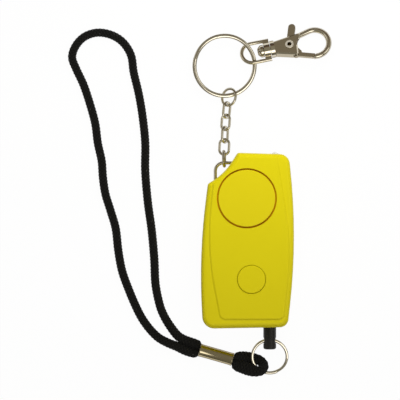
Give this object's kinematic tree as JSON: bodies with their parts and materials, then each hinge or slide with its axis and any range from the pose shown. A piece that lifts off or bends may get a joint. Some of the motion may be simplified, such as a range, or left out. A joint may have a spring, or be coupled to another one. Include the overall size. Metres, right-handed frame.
{
  "type": "personal safety alarm",
  "caption": "Pocket alarm with a pull-pin siren in a two-shell case, a light button, a wrist cord and a key chain with a trigger clasp.",
  "frame": {"origin": "centre of the case's back face, on the table", "axes": "+X to the right across the front panel, +Y up the case towards the key chain, +Z out of the front panel"},
  "size_m": [0.1026, 0.1373, 0.015],
  "materials": {
    "case_plastic": "satin",
    "back_plastic": "satin",
    "screw_steel": "zinc plated",
    "plated_wire": "nickel plated",
    "ring_steel": "nickel plated",
    "clasp_metal": "nickel plated",
    "ferrule_metal": "nickel plated",
    "black_plastic": "satin",
    "cord_fabric": "braided",
    "board_laminate": "satin",
    "coil_ferrite": "matt",
    "contact_metal": "plated",
    "led_lens": "clear",
    "siren_brass": "bright",
    "ceramic": "matt",
    "lead_plastic": "satin",
    "cell_steel": "satin sleeve"
  },
  "bodies": {
    "housing": {"front_cover": "case_plastic", "rear_cover": "back_plastic", "badge_disc": "case_plastic", "case_screws": "screw_steel", "tact_switch": "black_plastic", "circuit_board": "board_laminate", "control_chip": "black_plastic", "driver_transistor": "black_plastic", "step_up_coil": "coil_ferrite", "pin_contacts": "contact_metal", "light_led": "led_lens", "led_leads": "contact_metal", "siren_disc": "siren_brass", "siren_ceramic": "ceramic", "siren_leads": "lead_plastic", "battery_cell": "cell_steel", "battery_spring": "contact_metal", "battery_contact": "contact_metal", "keyring_bail": "plated_wire"},
    "light_button": {"light_button": "case_plastic", "switch_plunger": "black_plastic"},
    "battery_door": {"battery_door": "back_plastic"},
    "pull_pin": {"pull_pin": "black_plastic"},
    "pin_ring": {"pin_ring": "ring_steel"},
    "lanyard": {"cord_ferrule": "ferrule_metal", "wrist_cord": "cord_fabric", "ring_eye_cord": "cord_fabric"},
    "chain_link_1": {"chain_link_1": "plated_wire"},
    "chain_link_2": {"chain_link_2": "plated_wire"},
    "chain_link_3": {"chain_link_3": "plated_wire"},
    "chain_link_4": {"chain_link_4": "plated_wire"},
    "chain_link_5": {"chain_link_5": "plated_wire"},
    "jump_ring": {"jump_ring": "plated_wire"},
    "key_ring": {"key_ring": "ring_steel"},
    "swivel_eye": {"swivel_eye": "clasp_metal"},
    "clasp": {"clasp_body": "clasp_metal", "swivel_post": "clasp_metal", "trigger_rivet": "clasp_metal", "trigger_spring": "ring_steel"},
    "clasp_trigger": {"clasp_trigger": "clasp_metal"}
  },
  "joints": [
    {"name": "light_button_press", "type": "slide", "parent": "housing", "child": "light_button", "axis": [0, 0, -1], "range_m": [0, 0.0005], "stiffness_N_per_m": 600},
    {"name": "battery_door_slide", "type": "slide", "parent": "housing", "child": "battery_door", "axis": [0, -1, 0], "range_m": [0, 0.006]},
    {"name": "pull_pin_slide", "type": "slide", "parent": "housing", "child": "pull_pin", "axis": [0, -1, 0], "range_m": [0, 0.013]},
    {"name": "pin_ring_swing", "type": "hinge", "parent": "pull_pin", "child": "pin_ring", "pos_m": [0.00845, -0.0389, 0.0055], "axis": [-1, 0, 0], "range_deg": [-15, 100]},
    {"name": "lanyard_swing", "type": "hinge", "parent": "pin_ring", "child": "lanyard", "pos_m": [0.00845, -0.04516, 0.00371], "axis": [0, -0.2756, 0.9613], "range_deg": [-5, 60]},
    {"name": "chain_link_1_swing", "type": "hinge", "parent": "housing", "child": "chain_link_1", "pos_m": [-0.0093, 0.0302, 0.0055], "axis": [1, 0, 0], "range_deg": [-20, 40]},
    {"name": "chain_link_2_swing", "type": "hinge", "parent": "chain_link_1", "child": "chain_link_2", "pos_m": [-0.0093, 0.03459, 0.0039], "axis": [-0.1736, 0.3368, 0.9254], "range_deg": [-30, 30]},
    {"name": "chain_link_3_swing", "type": "hinge", "parent": "chain_link_2", "child": "chain_link_3", "pos_m": [-0.00905, 0.03938, 0.00361], "axis": [-0.9894, 0.0433, -0.1389], "range_deg": [-30, 30]},
    {"name": "chain_link_4_swing", "type": "hinge", "parent": "chain_link_3", "child": "chain_link_4", "pos_m": [-0.0088, 0.04416, 0.00331], "axis": [0.5702, -0.08, -0.8176], "range_deg": [-30, 30]},
    {"name": "chain_link_5_swing", "type": "hinge", "parent": "chain_link_4", "child": "chain_link_5", "pos_m": [-0.00846, 0.04894, 0.00302], "axis": [-0.8196, 0.0222, -0.5725], "range_deg": [-30, 30]},
    {"name": "jump_ring_swing", "type": "hinge", "parent": "chain_link_5", "child": "jump_ring", "pos_m": [-0.00796, 0.05371, 0.00273], "axis": [-0.6607, 0.1151, 0.7418], "range_deg": [-25, 25]},
    {"name": "key_ring_swing", "type": "hinge", "parent": "jump_ring", "child": "key_ring", "pos_m": [-0.00751, 0.05671, 0.00235], "axis": [-0.9889, -0.1427, 0.0404], "range_deg": [-30, 30]},
    {"name": "swivel_eye_swing", "type": "hinge", "parent": "key_ring", "child": "swivel_eye", "pos_m": [0.00086, 0.07245, 0.00405], "axis": [0.4069, -0.9008, -0.1517], "range_deg": [-30, 30]},
    {"name": "clasp_swivel", "type": "hinge", "parent": "swivel_eye", "child": "clasp", "pos_m": [0.00883, 0.07426, 0.00408], "axis": [0.9816, 0.1908, 0], "continuous": true},
    {"name": "trigger_pull", "type": "hinge", "parent": "clasp", "child": "clasp_trigger", "pos_m": [0.01621, 0.0756, 0.00411], "axis": [-0.0684, 0.3518, 0.9336], "range_deg": [0, 25], "stiffness_Nm_per_rad": 0.05, "springref_deg": -5.73, "deforming": ["trigger_spring"]}
  ]
}
